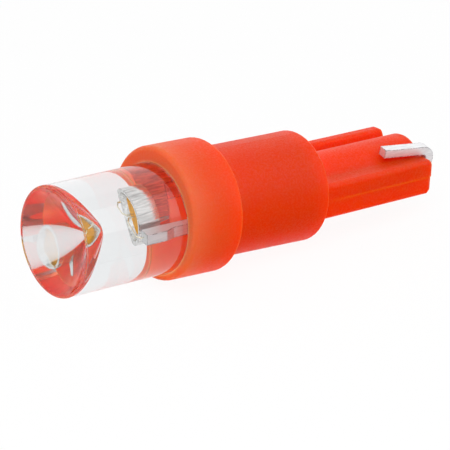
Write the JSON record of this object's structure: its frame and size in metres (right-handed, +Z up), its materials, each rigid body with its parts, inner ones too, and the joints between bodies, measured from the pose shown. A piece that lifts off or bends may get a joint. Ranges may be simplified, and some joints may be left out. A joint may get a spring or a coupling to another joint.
{
  "type": "wedge led bulb",
  "caption": "Small wedge-base LED bulb: clear concave LED in a translucent red-orange moulded base with a ribbed wedge blade and folded wire contacts.",
  "frame": {"origin": "middle of the footprint, on the surface that the bulb lies on", "axes": "+X towards the wedge end, +Z up off the surface, so the clear LED points towards -X and the blade's broad faces face up and down"},
  "size_m": [0.0206, 0.006, 0.0062],
  "materials": {
    "base_plastic": "translucent, satin moulded",
    "clear_epoxy": "clear polished epoxy",
    "lead_metal": "tinned, slightly dull",
    "cup_silver": "bright silver plate",
    "chip": "polished die",
    "die_bond": "cured adhesive",
    "phosphor": "yellow filled resin",
    "bond_metal": "bright gold wire",
    "solder": "smooth solder",
    "resistor_ceramic": "plain ceramic",
    "resistor_cap": "plated, plain",
    "resistor_lacquer": "lacquer",
    "resistor_wire": "tinned"
  },
  "bodies": {
    "root": {"base_holder": "base_plastic", "led_body": "clear_epoxy", "anode_lead": "lead_metal", "cathode_lead": "cup_silver", "led_chip": "chip", "die_bond": "die_bond", "phosphor": "phosphor", "anode_bond_wire": "bond_metal", "cathode_bond_wire": "bond_metal", "solder_joint": "solder", "resistor_rod": "resistor_ceramic", "resistor_front_cap": "resistor_cap", "resistor_rear_cap": "resistor_cap", "resistor_coat": "resistor_lacquer", "resistor_front_lead": "resistor_wire", "resistor_rear_lead": "resistor_wire"}
  },
  "joints": []
}
